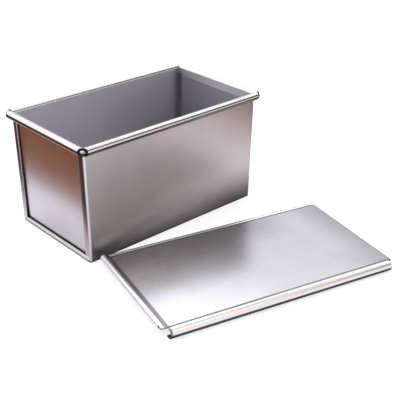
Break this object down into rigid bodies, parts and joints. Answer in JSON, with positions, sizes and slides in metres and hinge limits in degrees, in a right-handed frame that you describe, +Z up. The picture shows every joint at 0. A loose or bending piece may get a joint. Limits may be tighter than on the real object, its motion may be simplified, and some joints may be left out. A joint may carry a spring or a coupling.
{
  "type": "pullman_loaf_pan",
  "caption": "Deep straight-sided sheet-metal loaf pan with a wired rim and folded end seams, beside its flat sliding lid with C rails",
  "frame": {"origin": "centre of the pan's underside, on the table plane", "axes": "+X along the pan toward the end the lid slides on from, +Y across the pan away from the lid, +Z up"},
  "size_m": [0.2421, 0.2939, 0.11],
  "materials": {
    "pan_metal": "uncoated aluminised sheet steel, satin with a faint brushed grain",
    "wire_metal": "drawn steel wire, smooth and bare",
    "lid_metal": "uncoated aluminised sheet steel, satin with a faint brushed grain"
  },
  "bodies": {
    "pan": {"body_sheet": "pan_metal", "left_end_panel": "pan_metal", "right_end_panel": "pan_metal", "rim_wire": "wire_metal"},
    "lid": {"lid_sheet": "lid_metal"}
  },
  "joints": [
    {"name": "lid_slide", "type": "slide", "parent": "pan", "child": "lid", "axis": [0.9686, -0.2487, 0], "range_m": [0, 0.21]}
  ]
}
